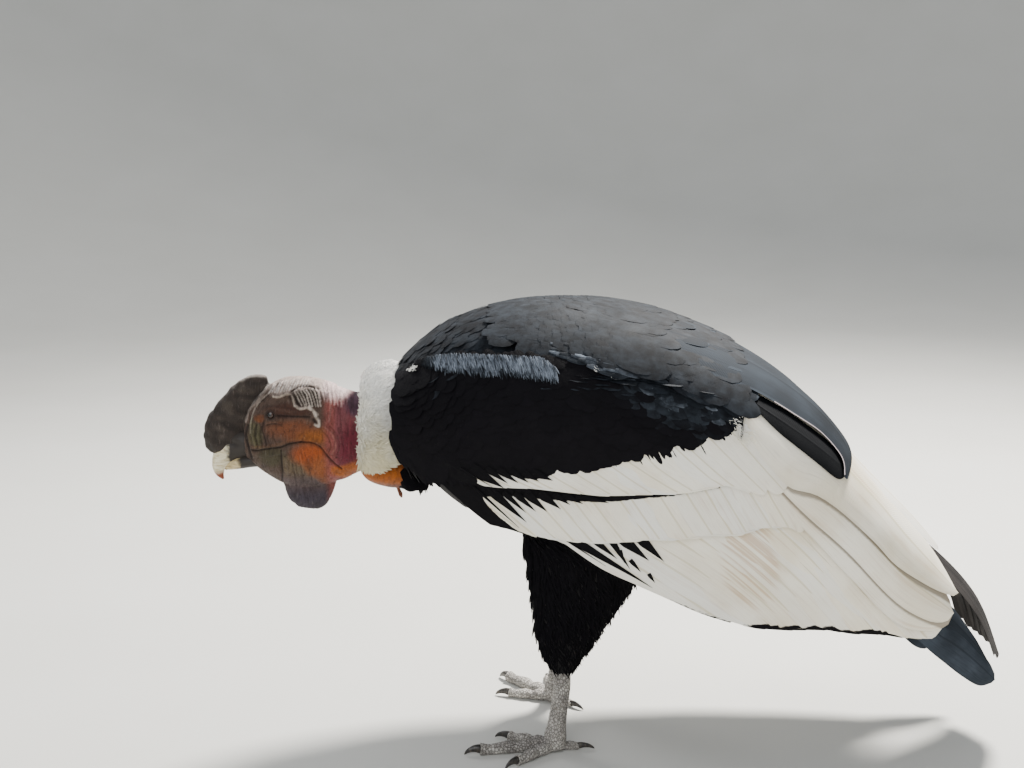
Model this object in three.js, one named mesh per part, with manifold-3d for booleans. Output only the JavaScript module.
// A life-size adult male Andean condor, standing with its head held low and its wings folded.
// Millimetres, +Z up, the floor at z = 0. The bird looks along -X, its left side is towards -Y.
import * as THREE from "three";
import Module from "manifold-3d";

const wasm = await Module();
wasm.setup();

// Driving dimensions
const GAP = 0.4; // between two nodes that lie against each other
const CLEAR = 0.6; // the same where both are strongly curved
const FLOOR = 0; // level of the soles

// The outside of the folded bird, wings and back together, at stations along X.
const HULL = {
  x: [-262, -205, -130, -40, 60, 160, 250, 320, 400, 470, 530],
  top: [505, 549, 573, 573, 555, 514, 450, 376, 294, 210, 140], // height of the back line
  mid: [430, 425, 420, 412, 398, 372, 320, 262, 190, 130, 80], // height of the greatest width
  half: [112, 144, 166, 180, 182, 176, 162, 146, 124, 101, 84], // half of that width
};
const HULL_ROUND = 0.62; // how square the shoulders of a section are
const HULL_SKIRT = 200; // drop of one unit of a below the greatest width
const HULL_TUCK = 0.0006; // how fast the hanging wing leans in

const LOFT_ROUND = 0.88; // how square a section of the body, neck or head is, 1 for an ellipse

// The body inside the wings.
const TORSO = {
  x: [-262, -250, -225, -190, -140, -80, 0, 80, 160, 230, 290, 330],
  top: [496, 513, 535, 555, 571, 575, 566, 544, 492, 420, 350, 306],
  bottom: [372, 358, 346, 316, 297, 290, 291, 300, 312, 304, 284, 268],
  mid: [430, 430, 427, 423, 416, 408, 404, 402, 386, 356, 318, 288],
  half: [70, 90, 114, 130, 144, 148, 132, 106, 80, 60, 46, 36],
};

// Small tools
const V = (x, y, z) => new THREE.Vector3(x, y, z);
const mix = (a, b, t) => a + (b - a) * t;
const clamp = (v, lo, hi) => Math.min(Math.max(v, lo), hi);
const range = (n) => Array.from({ length: n }, (_, i) => i);

// A seeded row of numbers from 0 to 1, so that each run makes the same bird.
function dice(seed) {
  let s = seed;
  return () => {
    s = (s * 16807) % 2147483647;
    return (s % 10000) / 10000;
  };
}

// A smooth curve through the values ys at the places xs.
function curve(xs, ys) {
  const d = range(xs.length - 1).map((i) => (ys[i + 1] - ys[i]) / (xs[i + 1] - xs[i]));
  const slope = xs.map((_, i) => {
    if (i === 0) return d[0];
    if (i === xs.length - 1) return d[i - 1];
    const before = xs[i] - xs[i - 1];
    const after = xs[i + 1] - xs[i];
    return (before * d[i] + after * d[i - 1]) / (before + after);
  });
  return (x) => {
    const at = clamp(x, xs[0], xs[xs.length - 1]);
    let i = 0;
    while (i < xs.length - 2 && at > xs[i + 1]) i++;
    const h = xs[i + 1] - xs[i];
    const t = (at - xs[i]) / h;
    const t2 = t * t;
    const t3 = t2 * t;
    return (
      (2 * t3 - 3 * t2 + 1) * ys[i] +
      (t3 - 2 * t2 + t) * h * slope[i] +
      (3 * t2 - 2 * t3) * ys[i + 1] +
      (t3 - t2) * h * slope[i + 1]
    );
  };
}

// A smooth path through rows of numbers, for t from 0 to 1.
function path(rows) {
  const at = range(rows.length);
  const parts = rows[0].map((_, k) => curve(at, rows.map((row) => row[k])));
  return (t) => parts.map((part) => part(t * (rows.length - 1)));
}

// A closed body from its points and triangles, with the faces turned outwards.
function body(points, tris) {
  let volume = 0;
  for (let i = 0; i < tris.length; i += 3) {
    const [a, b, c] = [points[tris[i]], points[tris[i + 1]], points[tris[i + 2]]];
    volume += a.dot(b.clone().cross(c));
  }
  const faces = Uint32Array.from(tris);
  if (volume < 0) {
    for (let i = 0; i < faces.length; i += 3) [faces[i + 1], faces[i + 2]] = [faces[i + 2], faces[i + 1]];
  }
  const vertProperties = Float32Array.from(points.flatMap((p) => [p.x, p.y, p.z]));
  return new wasm.Manifold(new wasm.Mesh({ numProp: 3, vertProperties, triVerts: faces }));
}

// A closed body through a row of rings that each hold the same number of points.
function ringBody(rings) {
  const n = rings[0].length;
  const tris = [];
  for (let r = 0; r + 1 < rings.length; r++) {
    for (let k = 0; k < n; k++) {
      const a = r * n + k;
      const b = r * n + ((k + 1) % n);
      tris.push(a, b, b + n, a, b + n, a + n);
    }
  }
  const last = (rings.length - 1) * n;
  for (let k = 1; k + 1 < n; k++) {
    tris.push(0, k + 1, k);
    tris.push(last, last + k, last + k + 1);
  }
  return body(rings.flat(), tris);
}

// A thin plate through rows of stations. Each station holds the points of its upper face from one
// edge to the other and the points of its lower face in the same order.
function plate(stations) {
  const m = stations[0].upper.length;
  const points = stations.flatMap((s) => [...s.upper, ...s.lower]);
  const tris = [];
  const up = (r, k) => r * 2 * m + k;
  const low = (r, k) => r * 2 * m + m + k;
  for (let r = 0; r + 1 < stations.length; r++) {
    for (let k = 0; k + 1 < m; k++) {
      tris.push(up(r, k), up(r, k + 1), up(r + 1, k + 1), up(r, k), up(r + 1, k + 1), up(r + 1, k));
      tris.push(low(r, k), low(r + 1, k + 1), low(r, k + 1), low(r, k), low(r + 1, k), low(r + 1, k + 1));
    }
    for (const [k, flip] of [[0, false], [m - 1, true]]) {
      const quad = [up(r, k), up(r + 1, k), low(r + 1, k), low(r, k)];
      if (flip) quad.reverse();
      tris.push(quad[0], quad[1], quad[2], quad[0], quad[2], quad[3]);
    }
  }
  for (const [r, flip] of [[0, false], [stations.length - 1, true]]) {
    for (let k = 0; k + 1 < m; k++) {
      const quad = [up(r, k), low(r, k), low(r, k + 1), up(r, k + 1)];
      if (flip) quad.reverse();
      tris.push(quad[0], quad[1], quad[2], quad[0], quad[2], quad[3]);
    }
  }
  return body(points, tris);
}

// The one closed surface that is left when solids are joined, with any crumbs dropped.
function joined(solids) {
  const pieces = wasm.Manifold.union(solids).decompose();
  return pieces.reduce((best, piece) => (piece.volume() > best.volume() ? piece : best));
}

function cut(solid, tools) {
  const pieces = solid.subtract(wasm.Manifold.union(tools)).decompose();
  return pieces.reduce((best, piece) => (piece.volume() > best.volume() ? piece : best));
}

// A tube along a path of rows [x, y, z, half width, half height], round or flattened.
function tube(rows, sides, steps, tilt = 0) {
  const along = path(rows);
  let before = null;
  const rings = range(steps + 1).map((i) => {
    const t = i / steps;
    const [x, y, z, wide, high] = along(t);
    const a = along(Math.max(t - 0.01, 0));
    const b = along(Math.min(t + 0.01, 1));
    const dir = V(b[0] - a[0], b[1] - a[1], b[2] - a[2]).normalize();
    const side = V(0, 0, 1).cross(dir);
    if (side.length() < 0.2) side.set(0, 1, 0);
    side.addScaledVector(dir, -side.dot(dir)).normalize();
    if (before && before.dot(side) < 0) side.negate();
    before = side;
    const over = dir.clone().cross(side).normalize();
    return range(sides).map((k) => {
      const angle = ((k + 0.5) / sides) * 2 * Math.PI + tilt;
      return V(x, y, z)
        .addScaledVector(side, Math.cos(angle) * Math.max(wide, 0.4))
        .addScaledVector(over, Math.sin(angle) * Math.max(high, 0.4));
    });
  });
  return ringBody(rings);
}

// An egg-shaped lump.
function lump(centre, radii, sides = 10, rows = 6) {
  const rings = range(rows + 1).map((i) => {
    const t = mix(0.06, 0.94, i / rows) * Math.PI;
    return range(sides).map((k) => {
      const p = (k / sides) * 2 * Math.PI;
      return V(
        centre[0] - Math.cos(t) * radii[0],
        centre[1] + Math.sin(t) * Math.cos(p) * radii[1],
        centre[2] + Math.sin(t) * Math.sin(p) * radii[2],
      );
    });
  });
  return ringBody(rings);
}

function box(x0, x1, y0, y1, z0, z1) {
  const ring = (z) => [V(x0, y0, z), V(x1, y0, z), V(x1, y1, z), V(x0, y1, z)];
  return ringBody([ring(z0), ring(z1)]);
}

// A body through upright sections along X. Each section is round above and below its widest level.
function loft(table, xs, sides, grow = 0) {
  const [top, bottom, mid, half] = ["top", "bottom", "mid", "half"].map((k) => curve(table.x, table[k]));
  const quarter = sides / 4;
  const rings = xs.map((x, i) => {
    const w = half(x) + grow;
    const zt = top(x) + grow;
    const zb = bottom(x) - grow;
    const zm = mid(x);
    const shift = i === 0 ? -grow : i === xs.length - 1 ? grow : 0;
    return range(sides).map((k) => {
      const angle = (k / quarter) * (Math.PI / 2);
      const c = Math.cos(angle);
      const s = Math.sin(angle);
      const y = Math.sign(s) * Math.abs(s) ** LOFT_ROUND * w;
      const z = zm + (c > 0 ? c ** LOFT_ROUND * (zt - zm) : -(Math.abs(c) ** LOFT_ROUND) * (zm - zb));
      return V(x + shift, y, z);
    });
  });
  return ringBody(rings);
}

// The outside surface
const hullTop = curve(HULL.x, HULL.top);
const hullMid = curve(HULL.x, HULL.mid);
const hullHalf = curve(HULL.x, HULL.half);

// Its section at x: a is 0 on the back, 1 at the greatest width and more on the hanging wing.
function hullPoint(x, a, side) {
  const w = hullHalf(x);
  const zt = hullTop(x);
  const zm = hullMid(x);
  const t = Math.abs(a);
  const sign = side * (a < 0 ? -1 : 1);
  if (t > 1) {
    const drop = (t - 1) * HULL_SKIRT;
    return V(x, sign * (w - HULL_TUCK * drop * drop), zm - drop);
  }
  const b0 = (1 - t) ** 3;
  const b1 = 3 * (1 - t) ** 2 * t;
  const b2 = 3 * (1 - t) * t * t;
  const b3 = t ** 3;
  const y = b1 * HULL_ROUND * w + (b2 + b3) * w;
  const z = (b0 + b1) * zt + b2 * (zm + HULL_ROUND * (zt - zm)) + b3 * zm;
  return V(x, sign * y, z);
}

// The same point moved off the surface by h, outwards where h is positive.
function onHull(x, a, h, side) {
  const along = hullPoint(x + 2, a, side).sub(hullPoint(x - 2, a, side));
  const across = hullPoint(x, a + 0.01, side).sub(hullPoint(x, a - 0.01, side));
  const normal = along.cross(across).multiplyScalar(side).normalize();
  return hullPoint(x, a, side).addScaledVector(normal, h);
}

// Torso
function torsoSolid(grow) {
  const xs = [-262, -255, -243, -224, -194, -150, -95, -35, 25, 80, 130, 175, 220, 262, 298, 330];
  return loft(TORSO, xs, 20, grow);
}

const torso = torsoSolid(0);
const torsoWide = torsoSolid(GAP);

// Feathers
// A tier is a fan of vanes laid on the outside surface: root and tip are rows of [x, a], one each
// for as many places along the tier, depth is how far off the surface it lies and margin is how many
// spaces it runs on past its first and last vane.
function tier({ root, tip, depth, sink = 0, margin = 1 }, count, side) {
  const roots = path(root);
  const tips = path(tip);
  return (u, v, h) => {
    const t = clamp((u + margin) / (count - 1 + 2 * margin), 0, 1);
    const [rx, ra] = roots(t);
    const [tx, ta] = tips(t);
    return onHull(mix(rx, tx, v), mix(ra, ta, v), depth + h - sink * (1 - v) ** 2, side);
  };
}

// One vane: it lies over its neighbour's near edge and under the next one's. Its breadth runs from
// low before its place to high after it, in spaces of the tier, and its last part, round, is the tip.
function vane(map, i, form) {
  const { low = 0.6, high = 0.85, step = 1.5, thick = 1 } = form;
  const { round = 0.12, long = 1, rows = 3, flat = false } = form;
  const middle = (high - low) / 2;
  const straight = range(rows).map((r) => [((1 - round) * r) / (rows - 1), 1]);
  const tip = rows > 2 ? [[1 - round * 0.3, 0.8], [1, 0.4]] : [[1, 0.5]];
  const stations = [...straight, ...tip].map(([v, wide]) => {
    const half = (thick * mix(0.6, 1, Math.min((1 - v) * 4, 1))) / 2;
    const across = (flat ? [-low, high] : [-low, middle, high]).map((s) => (s - middle) * wide + middle);
    const face = (off) => across.map((s) => map(i + s, v * long, off - s * step));
    return { upper: face(half), lower: face(-half) };
  });
  return plate(stations);
}

const vanes = (map, count, form, seed) => {
  const roll = dice(seed);
  return range(count).map((i) => vane(map, i, { ...form, long: 1 - 0.04 * roll() }));
};

// A thick patch of the surface: edge(t) gives the first and last a at a place along it.
function patch(x0, x1, edges, outer, inner, columns, rows, side) {
  const grid = (depth) =>
    range(columns + 1).map((c) =>
      range(rows + 1).map((r) => {
        const t = c / columns;
        const s = r / rows;
        const x = mix(x0, x1, t);
        const [a0, a1] = edges(x);
        return onHull(x, mix(a0, a1, s), depth(t, s), side);
      }),
    );
  const out = grid(outer);
  const inn = grid(inner);
  const points = [...out.flat(), ...inn.flat()];
  const n = out.length * out[0].length;
  const at = (c, r) => c * (rows + 1) + r;
  const tris = [];
  for (let c = 0; c < columns; c++) {
    for (let r = 0; r < rows; r++) {
      const [p, q, s, t] = [at(c, r), at(c + 1, r), at(c + 1, r + 1), at(c, r + 1)];
      tris.push(p, q, s, p, s, t, p + n, s + n, q + n, p + n, t + n, s + n);
    }
  }
  const rim = [
    ...range(columns).map((c) => [at(c, 0), at(c + 1, 0)]),
    ...range(rows).map((r) => [at(columns, r), at(columns, r + 1)]),
    ...range(columns).map((c) => [at(columns - c, rows), at(columns - c - 1, rows)]),
    ...range(rows).map((r) => [at(0, rows - r), at(0, rows - r - 1)]),
  ];
  for (const [a, b] of rim) tris.push(b, a, a + n, b, a + n, b + n);
  return body(points, tris);
}

// Wing
const SECONDARIES = 12;
const COVERTS = 8; // in each of two tiers
const PRIMARIES = 3; // those that show at the tip of the folded wing
const WING_TOP = curve([-258, -200, -130, -60, 40, 150], [0.5, 0.53, 0.575, 0.59, 0.56, 0.5]);
const WING_LOW = curve(
  [-258, -215, -191, -132, -74, -16, 30, 64, 99, 125, 150],
  [1.12, 1.2, 1.17, 1.15, 1.115, 1.065, 1.0, 0.945, 0.885, 0.815, 0.7],
);

function wing(side) {
  const rounded = (t, s) => {
    const front = 16 * (1 - Math.min(t / 0.1, 1)) ** 2;
    const rear = 4 * (1 - Math.min((1 - t) / 0.15, 1)) ** 2;
    const top = 9 * (1 - Math.min(s / 0.22, 1)) ** 2;
    return 3.5 - front - rear - top;
  };
  const arm = patch(-258, 150, (x) => [WING_TOP(x), WING_LOW(x)], rounded, () => -60, 12, 5, side);
  const secondaries = tier(
    {
      root: [[-215, 1.04], [-130, 1.07], [-50, 1.02], [20, 0.93], [90, 0.83], [132, 0.64], [138, 0.28]],
      tip: [[132, 1.95], [196, 1.85], [252, 1.7], [312, 1.47], [368, 1.25], [422, 1.0], [449, 0.28]],
      depth: -9.6,
    },
    SECONDARIES,
    side,
  );
  const lower = tier(
    {
      root: [[-212, 1.04], [-120, 1.06], [-30, 1.0], [60, 0.87], [128, 0.66]],
      tip: [[-128, 1.45], [-50, 1.56], [30, 1.5], [120, 1.38], [200, 1.14]],
      depth: -3.1,
    },
    COVERTS,
    side,
  );
  const upper = tier(
    {
      root: [[-222, 1.06], [-130, 1.06], [-35, 1.0], [55, 0.88], [125, 0.68]],
      tip: [[-158, 1.22], [-80, 1.255], [20, 1.2], [105, 1.085], [176, 0.91]],
      depth: 1.6,
    },
    COVERTS,
    side,
  );
  const primaries = tier(
    {
      root: [[30, 0.97], [50, 0.93], [75, 0.88], [95, 0.82], [110, 0.72]],
      tip: [[404, 1.27], [450, 1.24], [476, 1.15], [490, 1.03], [482, 0.8]],
      depth: -15.8,
      margin: 1.5,
    },
    PRIMARIES,
    side,
  );
  const elbow = patch(123, 152, () => [0.16, 0.66], () => -3, () => -19, 2, 6, side);
  return joined([
    cut(joined([arm, elbow]), [torsoWide]),
    ...vanes(secondaries, SECONDARIES, {}, 11),
    ...vanes(lower, COVERTS, { rows: 2, round: 0.14 }, 23),
    ...vanes(upper, COVERTS, { rows: 2, round: 0.25 }, 37),
    ...vanes(primaries, PRIMARIES, { low: 1.4, high: 1.4, round: 0.07 }, 41),
  ]);
}

// Scapulars: the long feathers that lie over the root of the wing
const SCAPULARS = 6;

function scapulars(side) {
  const edges = (x) => [0.07, mix(0.3, 0.47, clamp((x + 90) / 80, 0, 1))];
  const pad = patch(-90, 120, edges, (t) => 5 - 9 * (1 - Math.min(t / 0.25, 1)) ** 2, () => -24, 6, 3, side);
  const long = tier(
    {
      root: [[-50, 0.45], [0, 0.42], [60, 0.36], [90, 0.26], [95, 0.16]],
      tip: [[60, 0.63], [150, 0.6], [240, 0.6], [292, 0.44], [304, 0.16]],
      depth: 8.5,
      sink: 5,
    },
    SCAPULARS,
    side,
  );
  return joined([cut(pad, [torsoWide]), ...vanes(long, SCAPULARS, { low: 0.7, high: 0.9 }, 53)]);
}

// Tail
const TAIL = {
  line: [[322, 292], [366, 284], [428, 246], [485, 184], [517, 108]], // from root to tip, [x, z]
  feathers: 9,
  half: [28, 66], // half of its breadth at the root and at the tip
};

function tail() {
  const line = path(TAIL.line);
  const stump = ringBody(
    [[0, 24, 15], [0.12, 30, 16], [0.24, 36, 12], [0.36, 40, 4]].map(([t, wide, high]) => {
      const [x, z] = line(t);
      return range(12).map((k) => {
        const p = (k / 12) * 2 * Math.PI;
        return V(x + Math.sin(p) * high * 0.5, Math.cos(p) * wide, z - 5 + Math.sin(p) * high * 0.85);
      });
    }),
  );
  const middle = (TAIL.feathers - 1) / 2;
  const map = (u, v, h) => {
    const lean = (u - middle) / middle;
    const y = lean * mix(TAIL.half[0], TAIL.half[1], v);
    const t = mix(0.16, 1 - 0.07 * lean * lean, v);
    const [x, z] = line(t);
    const [x0, z0] = line(t - 0.01);
    const [x1, z1] = line(t + 0.01);
    const slope = Math.hypot(x1 - x0, z1 - z0);
    const drop = h - 0.0024 * y * y;
    return V(x - ((z1 - z0) / slope) * drop, y, z + ((x1 - x0) / slope) * drop);
  };
  const form = { low: 0.8, high: 0.8, flat: true };
  return joined([cut(stump, [torsoWide]), ...range(TAIL.feathers).map((i) => vane(map, i, form))]);
}

// Neck, ruff and crop
const NECK = {
  x: [-345, -330, -315, -300, -282, -262],
  top: [466, 459, 455, 457, 468, 480],
  bottom: [340, 344, 352, 356, 362, 370],
  mid: [404, 404, 405, 408, 415, 425],
  half: [36, 37, 38, 40, 46, 52],
};
const NECK_END = -262 - 2 * GAP;

function neckSolid(grow) {
  return loft(NECK, [HEAD_END + GAP, -336, -326, -316, -306, -294, -278, NECK_END], 20, grow);
}

const RUFF_OPEN = 0.5; // half of the angle at the throat that has no locks
const RUFF_CORE = 60; // radius of the ring that the locks grow from
const RUFF_LOCKS = 15; // in each of its rings
const RUFF_TURN = 1.7; // rise of a lock's edge over its neighbour

// The ruff's own coordinates: forward along the neck, around it and out from it.
function ruffPoint(x, angle, r) {
  const centre = 420 + (x + 284) * 0.24;
  return V(x, Math.sin(angle) * r * 1.04, centre + Math.cos(angle) * r);
}

function ruffCore(grow) {
  const rows = [[-300, 50], [-296, 57], [-286, RUFF_CORE], [-272, RUFF_CORE], [-265, 57]];
  return ringBody(
    rows.map(([x, r], i) =>
      range(RUFF_LOCKS).map((k) => {
        const shift = i === 0 ? -grow : i === rows.length - 1 ? grow : 0;
        return ruffPoint(x + shift, ((k + 0.5) / RUFF_LOCKS) * 2 * Math.PI, r + grow);
      }),
    ),
  );
}

// One lock of down: a flat bent tapering piece with its root in the ring. One edge lies over the
// next lock. Its spine holds rows of [x, r, share of its breadth, thickness].
function ruffLock(angle, wide, spine, grow) {
  const stations = spine.map(([x, r, share, thick], i) => {
    const [x0, r0] = spine[Math.max(i - 1, 0)];
    const [x1, r1] = spine[Math.min(i + 1, spine.length - 1)];
    const long = Math.hypot(x1 - x0, r1 - r0);
    const face = (off) =>
      [-1, 1].map((s) => {
        const rise = (off + s * RUFF_TURN * share) / long;
        return ruffPoint(x - (r1 - r0) * rise, angle + s * wide * share, r + (x1 - x0) * rise);
      });
    return { upper: face(thick / 2 + grow), lower: face(-thick / 2 - grow) };
  });
  return plate(stations);
}

function ruff(tools, grow) {
  const spines = [
    [[-296, 53, 0.7, 1.6], [-306, 57, 1.05, 1.6], [-311, 64, 0.95, 1.4], [-308, 71, 0.3, 0.8]],
    [[-292, 57, 0.7, 1.6], [-304, 67, 1.1, 1.6], [-299, 75, 0.95, 1.4], [-282, 80, 0.22, 0.8]],
    [[-280, 58, 0.7, 1.6], [-288, 69, 1.1, 1.6], [-279, 77, 0.95, 1.4], [-260, 80, 0.22, 0.8]],
  ];
  const roll = dice(7);
  const locks = spines.flatMap((spine, row) =>
    range(RUFF_LOCKS).flatMap((i) => {
      const angle = ((i + (row % 2) / 2) / RUFF_LOCKS) * 2 * Math.PI;
      if (Math.abs(angle - Math.PI) < RUFF_OPEN) return [];
      const reach = 0.97 + 0.05 * roll();
      const lean = 5 * (roll() - 0.5);
      const grown = spine.map(([x, r, share, thick], k) => {
        return k > 1 ? [x + lean, r * reach, share, thick] : [x, r, share, thick];
      });
      return [ruffLock(angle, Math.PI / RUFF_LOCKS + grow / RUFF_CORE, grown, grow)];
    }),
  );
  return cut(joined([ruffCore(grow), ...locks]), tools);
}

function crop(tools) {
  const bulge = lump([-268, 0, 354], [46, 34, 22], 12, 5);
  const drop = [
    [-267, 0, 342, 3.6, 3.6],
    [-264, 0, 326, 2.6, 2.6],
    [-261, 0, 317, 3.6, 3.6],
    [-260, 0, 314, 1, 1],
  ];
  const pendant = tube(drop, 6, 4);
  return cut(joined([bulge, pendant]), tools);
}

// Head
const HEAD = {
  x: [-459, -445, -430, -410, -388, -361, -345],
  top: [426, 449, 463, 474, 476, 472, 466],
  bottom: [371, 358, 347, 336, 331, 333, 340],
  mid: [396, 400, 404, 408, 410, 408, 404],
  half: [17, 24, 28, 31, 34, 36, 36],
};
const EYE = { x: -424, y: 20.5, z: 431, r: 8 };
const HEAD_END = -345;
const HEAD_LEVEL = 408; // height of its greatest width
const HEAD_TALL = 72; // from there to the crown and to the jaw
const headHalf = curve(HEAD.x, HEAD.half);

function headSolid(grow) {
  return loft(HEAD, [-459, -452, -444, -434, -422, -408, -392, -376, -360, HEAD_END], 20, grow);
}

// A fold of skin on the side of the head: rows of [x, z, how proud it stands].
function fold(rows, side, thick) {
  const points = rows.map(([x, z, out]) => {
    const rise = clamp(Math.abs(z - HEAD_LEVEL) / HEAD_TALL, 0, 0.98);
    return [x, side * (headHalf(x) * Math.sqrt(1 - rise * rise) + out), z, thick, thick];
  });
  return tube(points, 4, rows.length, Math.PI / 4);
}

function eyeBall(side, r) {
  return lump([EYE.x, side * EYE.y, EYE.z], [r, r, r], 10, 5);
}

function head() {
  const folds = [-1, 1].flatMap((side) => [
    fold([[-436, 436, -1], [-424, 443, 1], [-411, 438, 0], [-405, 428, -2]], side, 3), // upper lid
    fold([[-437, 428, -1], [-425, 420, 1], [-411, 423, -1]], side, 2.4), // lower lid
    fold([[-404, 458, -2], [-389, 466, 1], [-372, 462, 1], [-362, 450, -1]], side, 3.4), // brow
    fold([[-402, 452, -1], [-392, 446, 1], [-384, 434, 1], [-377, 428, -1]], side, 3), // front of the ear
    fold([[-366, 456, -1], [-361, 444, 1.5], [-362, 432, 2], [-367, 424, 0]], side, 3.6), // back of the ear
    fold([[-372, 428, 0], [-366, 420, 2], [-360, 417, 2.5], [-356, 422, 0]], side, 4.4), // ear lobes
    fold([[-452, 424, -1], [-455, 408, 1], [-452, 392, 0]], side, 2.6), // fold beside the bill
    fold([[-438, 414, -1], [-441, 398, 1], [-437, 382, -1]], side, 2.6), // fold in front of the cheek
    // the cheek above the throat
    fold([[-420, 386, -1], [-396, 396, 1], [-374, 390, 1.5], [-358, 372, 1], [-342, 360, -2]], side, 3),
    fold([[-458, 379, -0.5], [-441, 381, 1.5], [-424, 385, 0]], side, 2.2), // lip
  ]);
  const mouth = [-1, 1].map((side) => fold([[-463, 374, 0], [-444, 375, 1.5], [-424, 378, 1.5]], side, 1.6));
  const sockets = [-1, 1].map((side) => eyeBall(side, EYE.r + GAP));
  const whole = joined([headSolid(0), ...folds]);
  const rear = box(HEAD_END, HEAD_END + 60, -80, 80, 300, 500);
  return cut(whole, [...mouth, ...sockets, rear]);
}

function billUpper(grow) {
  return tube(
    [
      [-450, 0, 390, 15 + grow, 19 + grow],
      [-468, 0, 388, 14 + grow, 19 + grow],
      [-484, 0, 381, 11.5 + grow, 17 + grow],
      [-495, 0, 368, 8 + grow, 12 + grow],
      [-495, 0, 353, 4.5 + grow, 7 + grow],
      [-490, 0, 342 - grow, 1 + grow, 1.5 + grow],
    ],
    12,
    8,
  );
}

function billLower(grow) {
  return tube(
    [
      [-448, 0, 366, 12 + grow, 8 + grow],
      [-462, 0, 363, 11 + grow, 8 + grow],
      [-473, 0, 359, 8 + grow, 6 + grow],
      [-482, 0, 354, 3 + grow, 3 + grow],
    ],
    10,
    5,
  );
}

function comb() {
  return tube(
    [
      [-493, 0, 377, 9, 10],
      [-493, 0, 388, 13, 25],
      [-486, 0, 408, 12, 26],
      [-474, 0, 429, 11, 24],
      [-461, 0, 448, 10, 21],
      [-447, 0, 462, 8.5, 17],
      [-436, 0, 468, 6, 12],
      [-429, 0, 471, 3, 7],
    ],
    12,
    9,
  );
}

function wattle() {
  return tube(
    [
      [-378, 0, 362, 14, 39],
      [-379, 0, 344, 13, 36],
      [-380, 0, 326, 11, 31],
      [-381, 0, 311, 8, 24],
      [-382, 0, 303, 4, 13],
    ],
    12,
    5,
  );
}

// Legs
const LEG = {
  left: { thigh: -70, foot: [-62, -67], heading: 9 },
  right: { thigh: 72, foot: [-58, 90], heading: 49 },
};
const THIGH_END = 102;

function thigh({ thigh: y0, foot }) {
  // rows of height, front, back and half width
  const rows = [
    [335, -112, 92, 46],
    [300, -110, 78, 48],
    [260, -104, 56, 46],
    [220, -98, 34, 42],
    [185, -94, 12, 36],
    [155, -91, -6, 29],
    [130, -83, -22, 22],
    [114, -72, -35, 17],
    [THIGH_END, -66, -42, 13],
  ];
  const shift = foot[0] - LEG.left.foot[0];
  return ringBody(
    rows.map(([z, front, back, half]) =>
      range(12).map((k) => {
        const p = (k / 12) * 2 * Math.PI;
        const low = clamp((rows[0][0] - z) / (rows[0][0] - THIGH_END), 0, 1);
        const y = mix(y0, foot[1], low * low);
        const x = (front + back) / 2 + (Math.cos(p) * (back - front)) / 2;
        return V(x + shift * low, y + Math.sin(p) * half, z);
      }),
    ),
  );
}

// Where a toe of a foot starts, its way and its length, thickness along it.
function toes({ foot, heading }, side) {
  const list = [
    { name: "middle", turn: 0, long: 98, thick: 8.5 },
    { name: "inner", turn: -34, long: 66, thick: 7.5 },
    { name: "outer", turn: 34, long: 68, thick: 7.5 },
    { name: "hind", turn: 172, long: 30, thick: 6 },
  ];
  return list.map((toe) => {
    const angle = ((heading + toe.turn) * Math.PI) / 180;
    return { ...toe, dir: V(-Math.cos(angle), side * Math.sin(angle), 0), from: V(foot[0], foot[1], 0) };
  });
}

// Points along a toe: how far out, how high, its half width and half height.
function toeRow(toe, out, high, wide, tall) {
  const p = toe.from.clone().addScaledVector(toe.dir, out);
  return [p.x, p.y, high, wide, tall];
}

function foot(leg, side) {
  const [fx, fy] = leg.foot;
  const shank = tube(
    [
      [fx + 8, fy, THIGH_END - GAP, 12.5, 11.5],
      [fx + 8, fy, 84, 12, 11],
      [fx + 5, fy, 60, 11, 11],
      [fx + 2, fy, 36, 12, 12],
      [fx, fy, 18, 15, 14],
      [fx, fy, -3, 13, 12],
    ],
    8,
    5,
  );
  const bodies = toes(leg, side).map((toe) => {
    const t = toe.thick;
    const rows = [0, 0.25, 0.42, 0.58, 0.74, 0.9, 1].map((s, i) => {
      const swell = i % 2 && s < 0.8 ? 1 : 0.88;
      const r = t * swell * mix(1.1, 0.85, s);
      return toeRow(toe, s * toe.long, Math.max(r - 0.8, mix(14, 0, s * 3)), r, r);
    });
    return tube(rows, 5, 6);
  });
  return cut(joined([shank, ...bodies]), [box(fx - 300, fx + 300, fy - 300, fy + 300, -60, FLOOR)]);
}

function claw(toe) {
  const t = toe.thick;
  const at = toe.long + GAP;
  return tube(
    [
      toeRow(toe, at, t * 0.85 - 0.6, t * 0.62, t * 0.7),
      toeRow(toe, at + 5, t * 0.85 - 0.6, t * 0.52, t * 0.6),
      toeRow(toe, at + 10, t * 0.82, t * 0.44, t * 0.5),
      toeRow(toe, at + 14, t * 0.7, t * 0.36, t * 0.42),
      toeRow(toe, at + 20, t * 0.36, t * 0.14, t * 0.16),
    ],
    5,
    3,
  );
}

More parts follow.
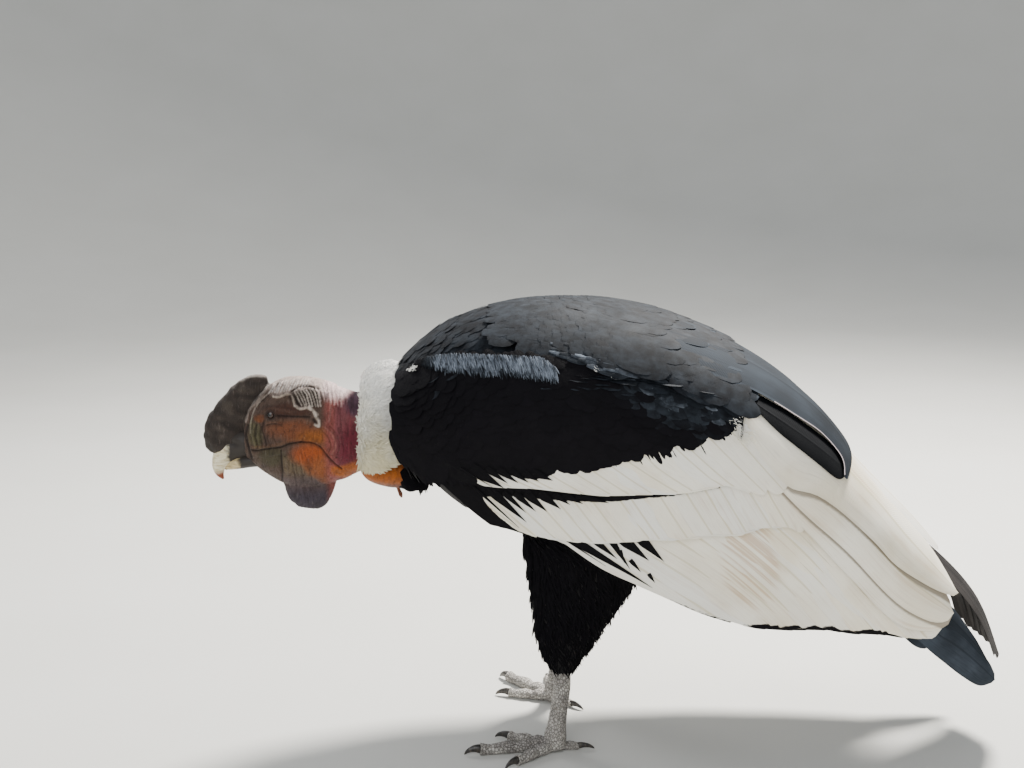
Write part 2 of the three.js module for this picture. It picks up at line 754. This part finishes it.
// Materials and the group
const LOOKS = {
  black: [0x17181b, 0.75],
  slate: [0x2b2e33, 0.7],
  white: [0xd9d4c3, 0.8],
  down: [0xe9e6dc, 0.95],
  skin: [0xb8877a, 0.6],
  orange: [0xb06a35, 0.55],
  comb: [0x4a403b, 0.8],
  wattle: [0x7a6a70, 0.6],
  bill: [0xcfc6ab, 0.35],
  horn: [0x4a4743, 0.4],
  leg: [0xa9a6a0, 0.7],
  claw: [0x2a2725, 0.4],
  eye: [0x4a1d14, 0.1],
};

const group = new THREE.Group();
group.name = "andean_condor";

function add(name, solid, look) {
  const mesh = solid.getMesh();
  const geometry = new THREE.BufferGeometry();
  geometry.setAttribute("position", new THREE.BufferAttribute(new Float32Array(mesh.vertProperties), 3));
  geometry.setIndex(new THREE.BufferAttribute(new Uint32Array(mesh.triVerts), 1));
  const [color, roughness] = LOOKS[look];
  const made = new THREE.Mesh(geometry, new THREE.MeshStandardMaterial({ color, roughness, name: name }));
  made.name = name;
  group.add(made);
}

const neckWide = neckSolid(GAP);
const neck = neckSolid(0);
const headWide = headSolid(GAP);


add("torso", torso, "black");
for (const [word, side] of [["left", -1], ["right", 1]]) {
  add(`wing_${word}`, wing(side), "white");
  add(`scapulars_${word}`, scapulars(side), "slate");
}
add("tail", tail(), "slate");
add("neck", neck, "skin");
add("ruff", ruff([neckSolid(CLEAR), torsoWide], 0), "down");
add("crop", crop([torsoWide, neckWide, ruff([neck], CLEAR)]), "orange");
add("head", head(), "skin");
const nostrils = [-1, 1].map((side) => lump([-477, side * 15, 392], [6, 5, 3], 8, 4));
const upper = cut(billUpper(0), [headWide, ...nostrils]);
const lower = cut(billLower(0), [headWide, billUpper(GAP)]);
add("bill_upper", upper, "bill");
add("bill_lower", lower, "bill");
add("comb", cut(comb(), [headWide, billUpper(GAP)]), "comb");
add("wattle", cut(wattle(), [headWide, neckWide]), "wattle");
for (const [word, side] of [["left", -1], ["right", 1]]) {
  add(`eye_${word}`, eyeBall(side, EYE.r), "eye");
  const leg = LEG[word];
  add(`thigh_${word}`, cut(thigh(leg), [torsoWide]), "black");
  add(`foot_${word}`, foot(leg, side), "leg");
  for (const toe of toes(leg, side)) add(`claw_${word}_${toe.name}`, claw(toe), "claw");
}

export default group;
